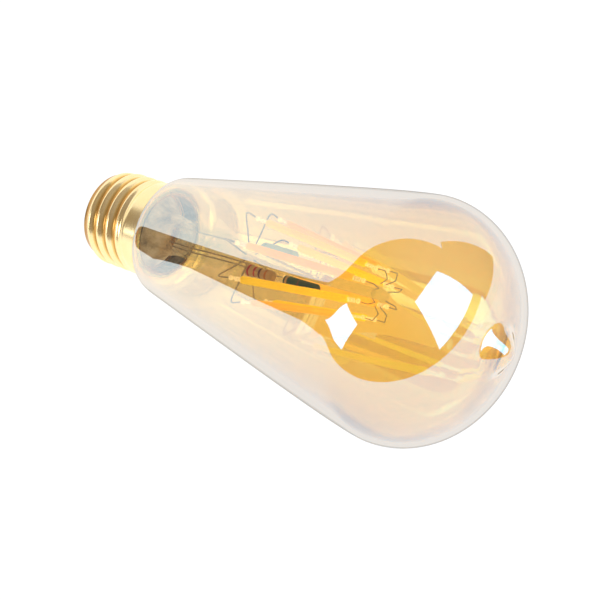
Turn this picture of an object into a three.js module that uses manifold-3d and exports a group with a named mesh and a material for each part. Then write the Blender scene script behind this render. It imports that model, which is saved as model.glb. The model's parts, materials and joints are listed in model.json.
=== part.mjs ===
// A tunable-white smart filament bulb with a long pear-shaped amber glass and a 27 mm screw cap.
// Millimetres, +Z up. The bulb lies at rest on its side: the widest ring of the glass and the end
// of the cap touch z = 0, and +X runs from the cap towards the glass.
// Inside the group everything is built upright: z is the height along the bulb's own axis, measured
// from the contact's flat face, and x points up when the bulb lies down.
import * as THREE from "three";
import { mergeVertices } from "three/addons/utils/BufferGeometryUtils.js";
import Module from "manifold-3d";

// ---- Driving dimensions ----
// Glass
const bulbDiameter = 64;
const bulbLength = 140.6; // contact face to the end of the glass tip
const widestHeight = 110.5; // height of the glass's widest ring
const shoulderDiameter = 33.2; // where the glass has swelled out above the cap
const shoulderHeight = 29.6;
const glassWall = 0.9;
const tipDiameter = 9.6;
const tipLength = 4; // how far the sealed tip stands out of the dome

// Screw cap
const capLength = 26; // contact face to the cap's rim
const threadCrest = 26.2;
const threadRoot = 24.2;
const threadPitch = 3.62;
const threadTurns = 3.5;
const capEdgeDiameter = 23.4; // the narrow edge that holds the insulator
const capEdgeHeight = 5.2;
const shellWall = 0.35;
const contactDiameter = 9.6;
const contactThickness = 0.6;
const contactBore = 1.4;

// Neck and glass mount
const neckTubeDiameter = 23.4; // the part of the glass that goes down into the cap
const neckTubeDepth = 5; // how far it goes in
const stemTubeDiameter = 10.4;
const stemWall = 0.8;
const stemTubeHeight = 45; // where the tube meets the flattened seal
const seal = { width: 11.2, thickness: 3.8, length: 8 };
const exhaustDiameter = 3;
const exhaustWall = 0.5;
const rodDiameter = 3;
const buttonDiameter = 5.6;
const buttonLength = 4.4;
const mountLean = 2.4; // degrees that the glass mount stands out of true
const mountLeanTowards = -45; // degrees round from the upper side of the lying bulb

// Filament cage
const filamentCount = 8; // warm and cool in turn
const filamentDiameter = 2;
const endCapLength = 2.2;
const endCapDiameter = 1.2;
const footHeight = 60.5; // lower ends of the filaments
const footRadius = 11.8;
const headHeight = 96; // upper ends
const headRadius = 7;
const firstFilamentAngle = 82;
const cageTwist = -7; // degrees that the heads are turned past the feet
const wireDiameter = 0.6;
const beadDiameter = 1.4;
const elbowDrop = 4.6; // how far a foot arm's bend lies below the filament's foot

// Parts strung beside the rod, above the seal
const bandedResistor = { diameter: 3.2, length: 9.4, height: 56.5, angle: 122 };
const greenInductor = { diameter: 2.8, length: 11.5, height: 69, angle: 128 };
const blueResistor = { diameter: 3.4, length: 12, height: 57.5, angle: -62 };

// Driver in the cap
const board = { width: 15.6, thickness: 1.2, height: 8.4 }; // its top stops just below the glass neck
const smoothingCapacitor = { diameter: 7.6, length: 11 };
const powerInductor = { diameter: 5.2, length: 4.2 };
const rectifier = { width: 4.6, depth: 2.2, height: 3.8 };
const controlChip = { width: 4.4, depth: 1.5, height: 4.8 };
const radioBoard = { width: 7, depth: 0.8, height: 5.2 };
const radioMargin = 1.3; // from the radio board's edge to the driver board's edge
const radioShield = { width: 5.4, depth: 1.4, height: 3.8 };
const fuse = { diameter: 2.2, length: 5.4 };

// Clearances
const gap = 0.3; // between pieces that touch or are fused
const wireClearance = 0.35; // round a wire that passes through a hole

// Sides of round shapes
const glassSides = 40;
const capSides = 32;
const partSides = 14;

// ---- Values that follow from them ----
const fullTurn = Math.PI * 2;
const glassRadius = bulbDiameter / 2;
const domeHeight = bulbLength - tipLength;
const neckTubeRadius = neckTubeDiameter / 2;
const neckTubeEnd = capLength - neckTubeDepth;
const shoulderRadius = shoulderDiameter / 2;
const crestRadius = threadCrest / 2;
const rootRadius = threadRoot / 2;
const capEdgeRadius = capEdgeDiameter / 2;
const threadStart = capEdgeHeight + 1.9;
const threadEnd = threadStart + threadTurns * threadPitch;
const wireRadius = wireDiameter / 2;
const stemBore = stemTubeDiameter / 2 - stemWall;
const sealStart = stemTubeHeight + gap;
const sealEnd = sealStart + seal.length;
const rodRadius = rodDiameter / 2;
const rodStart = sealEnd + gap;
const rodEnd = headHeight;
const flareRimRadius = neckTubeRadius - glassWall - 2 * gap;
const boardTop = neckTubeEnd - 2 * gap;
const boardLength = boardTop - board.height;
const mountPivot = neckTubeEnd;

const wasm = await Module();
wasm.setup();

// ---- Shared helpers ----
const metal = (colour, roughness) =>
  new THREE.MeshStandardMaterial({ color: colour, roughness, metalness: 1 });
const plain = (colour, roughness) =>
  new THREE.MeshStandardMaterial({ color: colour, roughness, metalness: 0 });
const clearGlass = (colour, opacity) =>
  new THREE.MeshStandardMaterial({ color: colour, roughness: 0.05, metalness: 0,
    transparent: true, opacity });

function piece(name, geometry, material) {
  const mesh = new THREE.Mesh(geometry, material);
  mesh.name = name;
  return mesh;
}

function polar(radius, degrees, height) {
  const angle = THREE.MathUtils.degToRad(degrees);
  return new THREE.Vector3(radius * Math.cos(angle), radius * Math.sin(angle), height);
}

// Turns a profile of [radius, height] points about z. A flat facet, not an edge, faces -x.
function turned(profile, sides) {
  const points = profile.map(([radius, height]) => new THREE.Vector2(radius, height));
  const geometry = new THREE.LatheGeometry(points, sides, Math.PI / 2 + Math.PI / sides);
  geometry.rotateX(Math.PI / 2);
  return outward(geometry);
}

// Merges the seams of a closed geometry and turns its faces outwards.
function outward(geometry) {
  const bare = geometry.clone();
  bare.deleteAttribute("normal");
  bare.deleteAttribute("uv");
  const merged = mergeVertices(bare, 1e-4);
  const position = merged.attributes.position;
  const kept = [];
  let volume = 0;
  const [a, b, c] = [new THREE.Vector3(), new THREE.Vector3(), new THREE.Vector3()];
  for (let i = 0; i < merged.index.count; i += 3) {
    const corner = [0, 1, 2].map((k) => merged.index.getX(i + k));
    if (new Set(corner).size < 3) continue;
    kept.push(...corner);
    a.fromBufferAttribute(position, corner[0]);
    b.fromBufferAttribute(position, corner[1]);
    c.fromBufferAttribute(position, corner[2]);
    volume += a.dot(b.cross(c));
  }
  if (volume < 0) kept.reverse();
  merged.setIndex(kept);
  merged.computeVertexNormals();
  return merged;
}

function solid(geometry) {
  const merged = outward(geometry);
  return new wasm.Manifold(new wasm.Mesh({
    numProp: 3,
    vertProperties: new Float32Array(merged.attributes.position.array),
    triVerts: new Uint32Array(merged.index.array),
  }));
}

function fromSolid(manifold) {
  const mesh = manifold.getMesh();
  const geometry = new THREE.BufferGeometry();
  geometry.setAttribute("position", new THREE.BufferAttribute(new Float32Array(mesh.vertProperties), 3));
  geometry.setIndex(Array.from(mesh.triVerts));
  geometry.computeVertexNormals();
  return geometry;
}

function cut(body, ...tools) {
  return fromSolid(tools.reduce((left, tool) => left.subtract(solid(tool)), solid(body)));
}

function join(...bodies) {
  return fromSolid(bodies.map(solid).reduce((left, right) => left.add(right)));
}

// Lays a geometry that was built up from the origin along z between two points.
function layBetween(geometry, from, to) {
  const turn = new THREE.Quaternion().setFromUnitVectors(
    new THREE.Vector3(0, 0, 1), to.clone().sub(from).normalize());
  return geometry.applyQuaternion(turn).translate(from.x, from.y, from.z);
}

function box(width, depth, height, x, y, z) {
  return outward(new THREE.BoxGeometry(width, depth, height).translate(x, y, z));
}

// A round bar between two points.
function bar(from, to, radius, sides = 8) {
  const length = from.distanceTo(to);
  return layBetween(turned([[0, 0], [radius, 0], [radius, length], [0, length]], sides), from, to);
}

// A bar with domed ends, as on a dipped resistor or a moulded inductor.
function domedBar(from, to, radius, sides) {
  const length = from.distanceTo(to);
  const profile = [];
  const steps = 3;
  for (let i = 0; i <= steps; i += 1) {
    const angle = (i / steps) * (Math.PI / 2);
    profile.push([radius * Math.sin(angle), radius * 0.6 * (1 - Math.cos(angle))]);
  }
  const mirrored = profile.map(([r, height]) => [r, length - height]).reverse();
  mirrored[mirrored.length - 1][0] = 0;
  return layBetween(turned([...profile, ...mirrored], sides), from, to);
}

// A bent wire along a smooth path through a few points.
function wire(points, steps, radius = wireRadius) {
  const corners = 6;
  const section = new THREE.Shape();
  for (let i = 0; i < corners; i += 1) {
    const angle = (i / corners) * fullTurn;
    const [x, y] = [radius * Math.cos(angle), radius * Math.sin(angle)];
    if (i === 0) section.moveTo(x, y);
    else section.lineTo(x, y);
  }
  const extrudePath = new THREE.CatmullRomCurve3(points, false, "chordal");
  return outward(new THREE.ExtrudeGeometry(section, { steps, bevelEnabled: false, extrudePath }));
}

const at = (x, y, z) => new THREE.Vector3(x, y, z);
const along = (from, to, distance) => from.clone().add(to.clone().sub(from).setLength(distance));

// ---- Glass envelope ----
// The outer outline from the neck's end up to the dome's crown, as [radius, height].
function glassOutline() {
  const neck = new THREE.Vector2(neckTubeRadius, neckTubeEnd);
  const shoulderFoot = capLength + gap;
  const outline = [neck];
  const shoulderSteps = 5;
  for (let i = 0; i <= shoulderSteps; i += 1) {
    const angle = (i / shoulderSteps) * (Math.PI / 2);
    outline.push(new THREE.Vector2(
      neckTubeRadius + (shoulderRadius - neckTubeRadius) * Math.sin(angle),
      shoulderFoot + (shoulderHeight - shoulderFoot) * (1 - Math.cos(angle))));
  }
  const shoulder = outline[outline.length - 1];
  const widest = new THREE.Vector2(glassRadius, widestHeight);
  const rise = widestHeight - shoulderHeight;
  const leave = new THREE.Vector2(glassRadius, widestHeight - 0.08 * rise);
  const start = shoulder.clone().lerp(leave, 0.32);
  const cone = new THREE.CubicBezierCurve(shoulder, start, leave, widest);
  outline.push(...cone.getPoints(9).slice(1));
  const domeSteps = 9;
  for (let i = 1; i < domeSteps; i += 1) {
    const angle = (i / domeSteps) * (Math.PI / 2);
    outline.push(new THREE.Vector2(
      glassRadius * Math.cos(angle),
      widestHeight + (domeHeight - widestHeight) * Math.sin(angle)));
  }
  return outline;
}

// The same outline moved inwards by the wall.
function insetOutline(outline, wall) {
  return outline.map((point, i) => {
    const before = outline[Math.max(i - 1, 0)];
    const after = outline[Math.min(i + 1, outline.length - 1)];
    const direction = after.clone().sub(before).normalize();
    return new THREE.Vector2(point.x - direction.y * wall, point.y + direction.x * wall);
  });
}

// The sealed tip: a hollow-sided swelling out of the dome with a round end.
function tipOutline(lastDomePoint) {
  const tipRadius = tipDiameter / 2;
  const roundStart = bulbLength - tipRadius * 0.7;
  const foot = new THREE.Vector2(lastDomePoint.x * 0.86, lastDomePoint.y + 0.5);
  const swell = new THREE.QuadraticBezierCurve(
    foot, new THREE.Vector2(tipRadius * 1.2, domeHeight + 0.5),
    new THREE.Vector2(tipRadius, roundStart));
  const outline = swell.getPoints(4);
  const roundSteps = 4;
  for (let i = 1; i <= roundSteps; i += 1) {
    const angle = (i / roundSteps) * (Math.PI / 2);
    outline.push(new THREE.Vector2(
      tipRadius * Math.cos(angle), roundStart + (bulbLength - roundStart) * Math.sin(angle)));
  }
  outline[outline.length - 1].x = 0;
  return outline;
}

function glassEnvelope() {
  const outer = glassOutline();
  const dome = outer.filter((point) => point.y < widestHeight || point.x > tipDiameter * 1.4);
  const inner = insetOutline(outer, glassWall);
  inner[0].y = neckTubeEnd;
  const crown = [0, domeHeight - glassWall];
  const profile = [...dome, ...tipOutline(dome[dome.length - 1])].map((p) => [p.x, p.y]).reverse();
  profile.push(...inner.map((p) => [p.x, p.y]), crown);
  return turned(profile, glassSides);
}

// ---- Screw cap ----
// Half the width of the cap's sheet metal at a height and a turn round the axis.
function capRadius(height, angle) {
  const fade = threadPitch / 2;
  const rising = THREE.MathUtils.smoothstep(height, threadStart - fade, threadStart + fade);
  const falling = 1 - THREE.MathUtils.smoothstep(height, threadEnd - fade, threadEnd + fade);
  const wave = 0.5 + 0.5 * Math.cos(fullTurn * (height / threadPitch) - angle);
  const lead = THREE.MathUtils.smoothstep(height, capEdgeHeight, threadStart);
  const base = THREE.MathUtils.lerp(capEdgeRadius, rootRadius, lead);
  const depth = crestRadius - base;
  return base + depth * (rising * falling * wave + (1 - falling));
}

function screwCap() {
  const rowStep = threadPitch / 5;
  const threadRows = Math.round((threadEnd + rowStep * 3 - capEdgeHeight) / rowStep);
  const heights = [];
  for (let i = 0; i <= threadRows; i += 1) heights.push(capEdgeHeight + i * rowStep);
  heights.push(capLength);
  const rings = [];
  for (const height of heights) rings.push({ height, inset: 0 });
  for (const height of heights.reverse()) rings.push({ height, inset: shellWall });
  const positions = [];
  const index = [];
  rings.forEach(({ height, inset }) => {
    for (let i = 0; i < capSides; i += 1) {
      const angle = (i / capSides) * fullTurn + Math.PI / capSides;
      const radius = capRadius(height, angle) - inset;
      positions.push(radius * Math.cos(angle), radius * Math.sin(angle), height);
    }
  });
  for (let row = 0; row < rings.length; row += 1) {
    const next = (row + 1) % rings.length;
    for (let i = 0; i < capSides; i += 1) {
      const side = (i + 1) % capSides;
      const [a, b] = [row * capSides + i, row * capSides + side];
      const [c, d] = [next * capSides + i, next * capSides + side];
      index.push(a, b, d, a, d, c);
    }
  }
  const geometry = new THREE.BufferGeometry();
  geometry.setAttribute("position", new THREE.BufferAttribute(new Float32Array(positions), 3));
  geometry.setIndex(index);
  return outward(geometry);
}

function capInsulator() {
  const bottom = contactThickness + gap;
  const top = capEdgeHeight + 1.4;
  const bore = contactBore + 2 * gap;
  const rim = capEdgeRadius - shellWall - gap;
  return turned([
    [bore, bottom], [contactDiameter / 2 + 1, bottom], [rim - 1.6, capEdgeHeight - 1.9],
    [rim, capEdgeHeight - 0.4], [rim, top], [bore + 3, top - 0.6], [bore, top - 1.4], [bore, bottom],
  ], capSides);
}

function centreContact() {
  const radius = contactDiameter / 2;
  const shank = contactBore + gap;
  const bore = contactBore - 0.5;
  const shankTop = capEdgeHeight + 0.2;
  return turned([
    [0, 0], [radius - 0.3, 0], [radius, contactThickness / 2], [radius - 0.1, contactThickness],
    [shank, contactThickness], [shank, shankTop], [bore, shankTop], [bore, contactThickness],
    [0, contactThickness],
  ], partSides * 2);
}

function basingCement() {
  const inner = neckTubeRadius + gap;
  const outer = crestRadius - shellWall - gap;
  const top = capLength - 0.3;
  return turned([
    [inner, neckTubeEnd], [outer, neckTubeEnd], [outer, top], [inner + 0.3, top], [inner, top - 0.4],
    [inner, neckTubeEnd],
  ], capSides);
}

// ---- Glass mount ----
function stemFlare() {
  const tube = stemTubeDiameter / 2;
  const rim = flareRimRadius;
  const rimEnd = neckTubeEnd + 0.4;
  const flareTop = rimEnd + 11;
  return turned([
    [rim, rimEnd], [tube + 1.1, rimEnd + 5.2], [tube, flareTop], [tube, stemTubeHeight],
    [stemBore, stemTubeHeight], [stemBore, flareTop], [stemBore + 1.1, rimEnd + 5],
    [rim - stemWall, rimEnd], [rim, rimEnd],
  ], partSides * 2);
}

// Sideways places of the three lead wires in the flattened seal.
const leadOffsets = { common: -2.3, warm: 3.5, cool: -3.7 };

function stemSeal() {
  const middle = sealStart + seal.length / 2;
  const shape = new THREE.Shape();
  const [w, t, r] = [seal.width / 2, seal.thickness / 2, seal.thickness * 0.32];
  shape.moveTo(-w + r, -t).lineTo(w - r, -t).lineTo(w, -t + r).lineTo(w, t - r);
  shape.lineTo(w - r, t).lineTo(-w + r, t).lineTo(-w, t - r).lineTo(-w, -t + r).closePath();
  const block = new THREE.ExtrudeGeometry(shape, { depth: seal.length, bevelEnabled: false });
  block.translate(0, 0, sealStart);
  const holeRadius = wireRadius + wireClearance;
  const holes = Object.values(leadOffsets).map((x) => bar(
    at(x, 0, middle - seal.length), at(x, 0, middle + seal.length), holeRadius, 6));
  return cut(block, ...holes);
}

function exhaustTube() {
  const outer = exhaustDiameter / 2;
  const bore = outer - exhaustWall;
  const bottom = boardTop + 1.4;
  return turned([
    [bore, bottom], [outer, bottom], [outer, stemTubeHeight], [bore, stemTubeHeight], [bore, bottom],
  ], partSides);
}

function centreRod() {
  return turned([[0, rodStart], [rodRadius, rodStart], [rodRadius, rodEnd], [0, rodEnd]], partSides);
}

function rodButton() {
  const radius = buttonDiameter / 2;
  const start = rodEnd + gap;
  const profile = [[0, start]];
  const steps = 6;
  for (let i = 0; i <= steps; i += 1) {
    const angle = Math.PI * (0.12 + (0.88 * i) / steps);
    profile.push([radius * Math.sin(angle), start + buttonLength * (0.5 - 0.5 * Math.cos(angle))]);
  }
  profile[1][1] = start;
  profile[profile.length - 1][0] = 0;
  return turned(profile, partSides);
}

// ---- Filament cage ----
const filamentAngle = (i) => firstFilamentAngle - (i * 360) / filamentCount;
const footOf = (i) => polar(footRadius, filamentAngle(i), footHeight);
const headOf = (i) => polar(headRadius, filamentAngle(i) + cageTwist, headHeight);

// A coated strip with a bare metal tab at each end.
function filament(i) {
  const length = footOf(i).distanceTo(headOf(i));
  const [tab, body] = [endCapDiameter / 2, filamentDiameter / 2];
  const profile = [[0, 0], [tab, 0], [tab, endCapLength], [body, endCapLength + 0.2],
    [body, length - endCapLength - 0.2], [tab, length - endCapLength], [tab, length], [0, length]];
  return layBetween(turned(profile, 10), footOf(i), headOf(i));
}

// The weld bead just beyond a filament's end.
function weldBead(end, other) {
  const centre = along(end, other, -(beadDiameter / 2 + gap));
  return new THREE.SphereGeometry(beadDiameter / 2, 6, 4).translate(centre.x, centre.y, centre.z);
}

// The bent wire that carries a filament's foot: out from the rod, then up towards the filament.
function footArm(i) {
  const angle = filamentAngle(i);
  const elbowHeight = footHeight - elbowDrop;
  const bead = weldBead(footOf(i), headOf(i));
  const beadCentre = along(footOf(i), headOf(i), -(beadDiameter / 2 + gap));
  return join(bead, wire([
    polar(rodRadius + wireRadius + gap, angle, elbowHeight - 0.3),
    polar(footRadius * 0.6, angle, elbowHeight - 0.2),
    polar(footRadius + 0.8, angle, elbowHeight),
    beadCentre,
  ], 7));
}

// The bent wire from the glass button to a filament's head.
function headArm(i) {
  const angle = filamentAngle(i) + cageTwist;
  const height = headHeight + gap + buttonLength / 2;
  const bead = weldBead(headOf(i), footOf(i));
  const beadCentre = along(headOf(i), footOf(i), -(beadDiameter / 2 + gap));
  return join(bead, wire([
    polar(buttonDiameter / 2 + gap, angle, height), polar(headRadius * 0.72, angle, height + 2.4),
    polar(headRadius - 0.2, angle, height + 1.8), beadCentre,
  ], 6));
}

// ---- Parts strung beside the rod ----
function placeBeside(item) {
  const radius = rodRadius + item.diameter / 2 + gap;
  return [polar(radius, item.angle, item.height), polar(radius, item.angle, item.height + item.length)];
}

// A resistor body with a swollen end cap at each end.
function bandedBody(item) {
  const [from, to] = placeBeside(item);
  const [radius, waist, swell] = [item.diameter / 2, item.diameter * 0.43, item.length * 0.22];
  const half = [[0, 0], [radius * 0.7, 0], [radius, swell * 0.4], [radius, swell], [waist, swell * 1.3]];
  const other = half.map(([r, height]) => [r, item.length - height]).reverse();
  return layBetween(turned([...half, ...other], partSides), from, to);
}

function roundEndedBody(item) {
  const [from, to] = placeBeside(item);
  return domedBar(from, to, item.diameter / 2, partSides);
}

// Lead wires rise from the board through the stem and the seal, and end beside the rod.
function leadWire(offset) {
  const top = footHeight - elbowDrop - 3 * wireRadius - gap;
  const sag = wireDiameter;
  return wire([
    at(offset, 0, boardTop + gap), at(offset, sag, (boardTop + stemTubeHeight) / 2),
    at(offset, 0, sealStart), at(offset, 0, sealEnd), at(offset, 0, top),
  ], 12);
}

// ---- Driver in the cap ----
const boardFront = board.thickness / 2 + gap;

function driverBoard() {
  return box(board.width, board.thickness, boardLength, 0, 0, board.height + boardLength / 2);
}

function onBack(item, x, height) {
  return box(item.width, item.depth, item.height, x, -boardFront - item.depth / 2, height);
}

function inCap() {
  const capacitorY = boardFront + smoothingCapacitor.diameter / 2;
  const low = board.height + 0.6;
  const inductorY = -boardFront;
  const inductorHeight = low + powerInductor.diameter / 2;
  const radioHeight = low + powerInductor.diameter + gap + radioBoard.height / 2;
  const radioX = radioBoard.width / 2 + radioMargin - board.width / 2;
  const shieldDepth = boardFront + radioBoard.depth + gap;
  const fuseX = -board.width / 2 + fuse.diameter / 2 + 0.2;
  const fuseY = boardFront + fuse.diameter / 2 + 0.6;
  return {
    smoothing_capacitor: [bar(at(1.4, capacitorY, low), at(1.4, capacitorY, low + smoothingCapacitor.length),
      smoothingCapacitor.diameter / 2, partSides), plain(0x23262e, 0.45)],
    power_inductor: [bar(at(radioX, inductorY, inductorHeight),
      at(radioX, inductorY - powerInductor.length, inductorHeight),
      powerInductor.diameter / 2, partSides), plain(0x2b2b2b, 0.6)],
    bridge_rectifier: [onBack(rectifier, 3.2, low + 2), plain(0x1b1b1d, 0.5)],
    control_chip: [onBack(controlChip, 4, low + 8.2), plain(0x17181a, 0.5)],
    radio_board: [onBack(radioBoard, radioX, radioHeight), plain(0x1d5c34, 0.45)],
    radio_shield: [box(radioShield.width, radioShield.depth, radioShield.height, radioX,
      -shieldDepth - radioShield.depth / 2, radioHeight - 0.3), metal(0xc4c6c8, 0.35)],
    fusible_resistor: [bar(at(fuseX, fuseY, low), at(fuseX, fuseY, low + fuse.length),
      fuse.diameter / 2, 10), plain(0xb9a27c, 0.55)],
    live_wire: [wire([at(0, 0, contactThickness + 1), at(0, 0, capEdgeHeight + 1),
      at(fuseX * 0.6, fuseY * 0.6, board.height - 0.8),
      at(fuseX, fuseY, low - gap)], 10), plain(0xa33a2c, 0.5)],
    neutral_wire: [wire([at(0, -rootRadius + shellWall + 1, threadStart), at(0.4, -7.2, board.height - 1),
      at(1.4, -1.6, board.height - 1)], 8), plain(0x2f5ea8, 0.5)],
  };
}

// ---- Assembly ----
const glassLook = clearGlass(0xe6c68c, 0.35);
const stemLook = clearGlass(0xe9ecea, 0.45);
const brass = () => metal(0xd9a748, 0.22);
const nickel = () => metal(0xb9b3a4, 0.35);

const mount = new THREE.Group();
mount.add(
  piece("stem_flare", stemFlare(), stemLook.clone()),
  piece("stem_seal", stemSeal(), stemLook.clone()),
  piece("exhaust_tube", exhaustTube(), stemLook.clone()),
  piece("centre_rod", centreRod(), stemLook.clone()),
  piece("rod_button", rodButton(), stemLook.clone()),
  ...Object.entries(leadOffsets).map(
    ([name, offset]) => piece(`lead_wire_${name}`, leadWire(offset), nickel())),
  piece("banded_resistor", bandedBody(bandedResistor), plain(0xb59c7c, 0.55)),
  piece("green_inductor", roundEndedBody(greenInductor), plain(0x2c4a26, 0.4)),
  piece("blue_resistor", roundEndedBody(blueResistor), plain(0x8fa9b8, 0.45)),
);
for (let i = 0; i < filamentCount; i += 1) {
  const warm = i % 2 === 1;
  const name = warm ? "filament_warm" : "filament_cool";
  const number = Math.floor(i / 2) + 1;
  mount.add(
    piece(`${name}_${number}`, filament(i), plain(warm ? 0xf39a2e : 0xf2c21c, 0.6)),
    piece(`foot_arm_${i + 1}`, footArm(i), nickel()),
    piece(`head_arm_${i + 1}`, headArm(i), nickel()),
  );
}

const bulb = new THREE.Group();
bulb.add(
  piece("glass_envelope", glassEnvelope(), glassLook),
  piece("screw_cap", screwCap(), brass()),
  piece("cap_insulator", capInsulator(), plain(0x3b3b3e, 0.4)),
  piece("centre_contact", centreContact(), metal(0xc9c4b8, 0.3)),
  piece("basing_cement", basingCement(), plain(0xa39c8c, 0.9)),
  piece("driver_board", driverBoard(), plain(0x2b6b3d, 0.5)),
  mount,
);
for (const [name, [geometry, material]] of Object.entries(inCap())) bulb.add(piece(name, geometry, material));

// The glass mount leans about the middle of the flare's rim.
const leanAxis = polar(1, mountLeanTowards + 90, 0);
mount.position.set(0, 0, mountPivot);
mount.quaternion.setFromAxisAngle(leanAxis, THREE.MathUtils.degToRad(mountLean));
mount.children.forEach((child) => child.geometry.translate(0, 0, -mountPivot));

// The bulb tips over until the cap's first thread and the glass's widest ring reach the same level.
function lyingTilt() {
  const lowest = (points, tilt) => Math.min(...points.map(
    ([radius, height]) => height * Math.sin(tilt) - radius * Math.cos(tilt)));
  const glass = glassOutline().map((p) => [p.x, p.y]);
  const cap = [[capEdgeRadius, capEdgeHeight], [crestRadius, threadStart], [crestRadius, threadEnd],
    [crestRadius, capLength]];
  let [low, high] = [0, Math.PI / 4];
  for (let i = 0; i < 40; i += 1) {
    const tilt = (low + high) / 2;
    if (lowest(cap, tilt) > lowest(glass, tilt)) low = tilt;
    else high = tilt;
  }
  return (low + high) / 2;
}

const tilt = lyingTilt();
const uprightToLying = new THREE.Matrix4().makeBasis(
  at(-Math.sin(tilt), 0, Math.cos(tilt)), at(0, -1, 0), at(Math.cos(tilt), 0, Math.sin(tilt)));
bulb.quaternion.setFromRotationMatrix(uprightToLying);
const root = new THREE.Group();
root.add(bulb);
root.updateMatrixWorld(true);
const extent = new THREE.Box3().setFromObject(bulb, true);
const middle = extent.getCenter(new THREE.Vector3());
bulb.position.set(-middle.x, -middle.y, -extent.min.z);

export default root;
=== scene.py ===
import json
from math import copysign, cos, pi, radians, sin
import bmesh
import bpy
from mathutils import Matrix, Vector, noise


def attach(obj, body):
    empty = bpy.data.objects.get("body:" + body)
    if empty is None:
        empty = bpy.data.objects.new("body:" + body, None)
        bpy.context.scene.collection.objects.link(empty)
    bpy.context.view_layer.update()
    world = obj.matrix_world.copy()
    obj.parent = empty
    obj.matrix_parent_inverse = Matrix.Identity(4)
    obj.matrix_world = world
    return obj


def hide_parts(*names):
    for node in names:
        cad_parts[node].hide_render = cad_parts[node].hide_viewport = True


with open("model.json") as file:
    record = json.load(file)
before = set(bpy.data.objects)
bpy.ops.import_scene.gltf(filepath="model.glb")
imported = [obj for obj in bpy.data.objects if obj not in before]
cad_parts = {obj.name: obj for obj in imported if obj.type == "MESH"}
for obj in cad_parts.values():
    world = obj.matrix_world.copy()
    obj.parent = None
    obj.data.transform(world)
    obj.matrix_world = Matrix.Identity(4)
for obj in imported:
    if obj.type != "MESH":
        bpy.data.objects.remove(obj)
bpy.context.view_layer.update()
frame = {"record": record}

# A smart filament bulb lying on its side. Lengths are in millimetres and angles in degrees.
mm = 0.001
fullTurn = 2 * pi
noiseSpan = (0.3, 0.7)       # most of a noise texture lies between these
scene = bpy.context.scene

# The bulb's own upright frame: z runs from the contact to the dome, x points up as the bulb lies.
contactMount = next(m for m in frame["record"]["mounts"] if m["name"] == "centre_contact_face")
contactPoint = Vector(contactMount["pos_m"])
bulbAxis = -Vector(contactMount["axis"]).normalized()
upSide = Vector((-bulbAxis.z, 0, bulbAxis.x))
nearSide = Vector((0, -1, 0))


def frameOf(across, out, along, origin):
    return Matrix([(across[k], out[k], along[k], origin[k]) for k in range(3)] + [(0, 0, 0, 1)])


bulbFrame = frameOf(upSide, nearSide, bulbAxis, contactPoint)

# The glass mount leans a little out of true about the middle of its flare.
mountPlace = {"pivot": 21, "lean": 2.4, "towards": -45}
leanAngle = radians(mountPlace["towards"] + 90)
leanAxis = Vector((cos(leanAngle), sin(leanAngle), 0))
toPivot = Matrix.Translation((0, 0, mountPlace["pivot"] * mm))
lean = Matrix.Rotation(radians(mountPlace["lean"]), 4, leanAxis)
mountFrame = bulbFrame @ toPivot @ lean @ toPivot.inverted()


def polar(radius, degrees, height):
    angle = radians(degrees)
    return Vector((radius * cos(angle), radius * sin(angle), height))


def blendBetween(a, b, share):
    return a + (b - a) * share


def smoothStep(value, low, high):
    t = min(max((value - low) / (high - low), 0), 1)
    return t * t * (3 - 2 * t)


# Faces between rings of points that lie one after the other. The last ring can join the first.
def ringFaces(rings, count, joined=False):
    faces = []
    for ring in range(rings if joined else rings - 1):
        low, high = ring * count, (ring + 1) % rings * count
        for i in range(count):
            j = (i + 1) % count
            faces.append((low + i, low + j, high + j, high + i))
    return faces


# The same with both ends closed.
def closedFaces(rings, count):
    last = (rings - 1) * count
    ends = [tuple(reversed(range(count))), tuple(last + i for i in range(count))]
    return ends[:1] + ringFaces(rings, count) + ends[1:]


# Turns an outline of (radius, height) points about z. The outline is closed, or starts and ends on the axis.
def turnedParts(outline, sides=64, wobble=None):
    points = []
    rings = []
    for radius, height in outline:
        count = 1 if radius < 1e-6 else sides
        rings.append(range(len(points), len(points) + count))
        for i in range(count):
            angle = fullTurn * i / sides
            r = wobble(radius, angle, height) if wobble else radius if count > 1 else 0
            points.append(Vector((r * cos(angle), r * sin(angle), height)))
    faces = []
    rows = len(rings) if outline[0][0] > 1e-6 else len(rings) - 1
    for row in range(rows):
        low, high = rings[row], rings[(row + 1) % len(rings)]
        for i in range(sides if len(low) + len(high) > 2 else 0):
            j = (i + 1) % sides
            if len(low) == 1:
                faces.append((low[0], high[j], high[i]))
            elif len(high) == 1:
                faces.append((low[i], low[j], high[0]))
            else:
                faces.append((low[i], low[j], high[j], high[i]))
    return points, faces


def joinParts(*parts):
    points = []
    faces = []
    for partPoints, partFaces in parts:
        start = len(points)
        points.extend(partPoints)
        faces.extend([tuple(i + start for i in face) for face in partFaces])
    return points, faces


def moved(parts, matrix):
    points, faces = parts
    return [matrix @ Vector(p) for p in points], faces


# A smooth line through a few points.
def smoothPath(points, steps):
    points = [Vector(p) for p in points]
    ends = [points[0] * 2 - points[1]] + points + [points[-1] * 2 - points[-2]]
    path = []
    for k in range(len(points) - 1):
        a, b, c, d = ends[k:k + 4]
        for i in range(steps):
            t = i / steps
            path.append(0.5 * ((2 * b) + (c - a) * t + (2 * a - 5 * b + 4 * c - d) * t * t
                               + (3 * b - a - 3 * c + d) * t * t * t))
    path.append(points[-1])
    return path


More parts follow.
